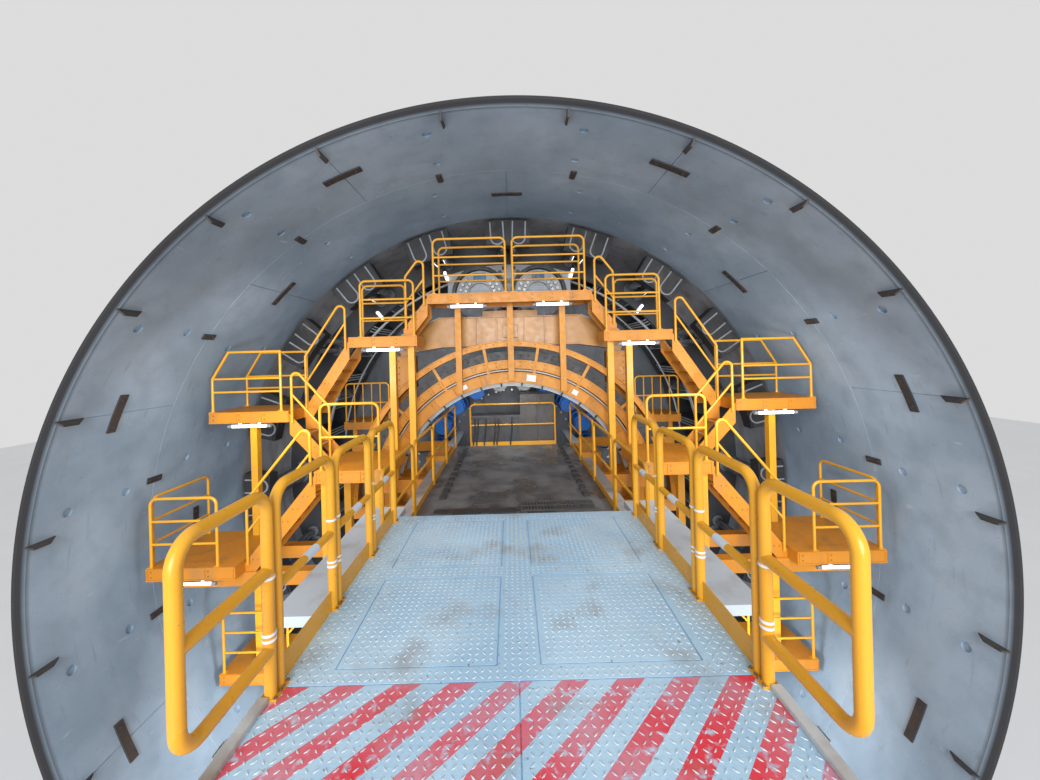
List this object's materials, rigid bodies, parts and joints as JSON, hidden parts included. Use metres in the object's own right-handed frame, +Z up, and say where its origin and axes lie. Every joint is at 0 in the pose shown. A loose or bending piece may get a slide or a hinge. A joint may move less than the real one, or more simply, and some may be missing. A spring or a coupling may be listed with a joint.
{
  "type": "slurry tunnel boring machine",
  "caption": "Round tunnel boring shield with a slotted cutting wheel, ring of thrust rams, segment erector, yellow work platforms with stairs, and a railed rear gangway.",
  "frame": {"origin": "middle of the machine's box, on the floor under the shield", "axes": "+Y is the direction the machine drives in, along its length; +X to the right seen from behind; +Z up"},
  "size_m": [12.5998, 15.4, 12.5999],
  "materials": {
    "lining_grey": "matt, stained",
    "shield_grey": "matt paint",
    "rust_brown": "rusty primer",
    "machine_grey": "satin paint",
    "motor_blue": "gloss paint",
    "lock_grey": "satin paint",
    "console_grey": "satin paint",
    "girder_white": "satin paint",
    "pipe_grey": "satin paint",
    "floor_brown": "worn, muddy",
    "platform_yellow": "gloss paint",
    "deck_white": "worn chequer plate",
    "tray_white": "satin paint",
    "chain_black": "matt",
    "lamp_white": "diffuse",
    "cutter_steel": "ground",
    "wheel_paint": "satin paint",
    "rod_chrome": "ground and plated",
    "tyre_black": "matt"
  },
  "bodies": {
    "shield": {"tail_ring_rear": "lining_grey", "tail_ring_front": "lining_grey", "centre_shield": "shield_grey", "front_shield": "shield_grey", "bulkhead": "machine_grey", "thrust_frames": "rust_brown", "thrust_barrels": "machine_grey", "main_drive": "machine_grey", "drive_motors": "motor_blue", "man_locks": "lock_grey", "lock_consoles": "console_grey", "tie_plates": "rust_brown", "bridge_girders": "girder_white", "slurry_pipes": "pipe_grey", "passage_floor": "floor_brown", "passage_railings": "platform_yellow", "equipment_box": "machine_grey", "rear_deck": "deck_white", "deck_trestles": "machine_grey", "deck_railings": "platform_yellow", "side_trays": "tray_white", "rear_portal": "girder_white", "erector_arches": "platform_yellow", "energy_chain": "chain_black", "tower_posts": "platform_yellow", "side_columns": "platform_yellow", "outriggers": "platform_yellow", "top_platform": "platform_yellow", "top_railings": "platform_yellow", "upper_platforms": "platform_yellow", "upper_railings": "platform_yellow", "mid_platforms": "platform_yellow", "mid_railings": "platform_yellow", "inner_platforms": "platform_yellow", "inner_railings": "platform_yellow", "drive_walkways": "platform_yellow", "walkway_railings": "platform_yellow", "lower_platforms": "platform_yellow", "lower_railings": "platform_yellow", "landings": "platform_yellow", "lowest_platforms": "platform_yellow", "lowest_railings": "platform_yellow", "stairs": "platform_yellow", "stair_railings": "platform_yellow", "tube_lamps": "lamp_white"},
    "cutting_head": {"cutting_wheel": "wheel_paint", "wheel_legs": "wheel_paint", "wheel_knives": "cutter_steel", "disc_cutters": "cutter_steel", "drive_drum": "machine_grey"},
    "erector_carriage_body": {"erector_carriage": "platform_yellow"},
    "erector_rotor_body": {"erector_rotor": "platform_yellow"},
    "erector_head_body": {"erector_head": "platform_yellow"},
    "thrust_top": {"thrust_rods_top": "rod_chrome"},
    "thrust_right": {"thrust_rods_right": "rod_chrome"},
    "thrust_bottom": {"thrust_rods_bottom": "rod_chrome"},
    "thrust_left": {"thrust_rods_left": "rod_chrome"},
    "wheel_left": {"gantry_wheel_left": "tyre_black"},
    "wheel_right": {"gantry_wheel_right": "tyre_black"}
  },
  "joints": [
    {"name": "cutting_head_turn", "type": "hinge", "parent": "shield", "child": "cutting_head", "pos_m": [0, 7, 6.3], "axis": [0, 1, 0], "continuous": true},
    {"name": "erector_travel", "type": "slide", "parent": "shield", "child": "erector_carriage_body", "axis": [0, 1, 0], "range_m": [0, 0.9]},
    {"name": "erector_turn", "type": "hinge", "parent": "erector_carriage_body", "child": "erector_rotor_body", "pos_m": [0, 0, 6.3], "axis": [0, 1, 0], "range_deg": [-200, 200]},
    {"name": "erector_lift", "type": "slide", "parent": "erector_rotor_body", "child": "erector_head_body", "axis": [0, 0, 1], "range_m": [0, 1.2]},
    {"name": "thrust_top_stroke", "type": "slide", "parent": "shield", "child": "thrust_top", "axis": [0, -1, 0], "range_m": [-1.6, 0.4]},
    {"name": "thrust_right_stroke", "type": "slide", "parent": "shield", "child": "thrust_right", "axis": [0, -1, 0], "range_m": [-1.6, 0.4]},
    {"name": "thrust_bottom_stroke", "type": "slide", "parent": "shield", "child": "thrust_bottom", "axis": [0, -1, 0], "range_m": [-1.6, 0.4]},
    {"name": "thrust_left_stroke", "type": "slide", "parent": "shield", "child": "thrust_left", "axis": [0, -1, 0], "range_m": [-1.6, 0.4]},
    {"name": "wheel_left_roll", "type": "hinge", "parent": "shield", "child": "wheel_left", "pos_m": [-2.6, -6.85, 0.4], "axis": [1, 0, 0], "continuous": true},
    {"name": "wheel_right_roll", "type": "hinge", "parent": "shield", "child": "wheel_right", "pos_m": [2.6, -6.85, 0.4], "axis": [1, 0, 0], "continuous": true}
  ]
}
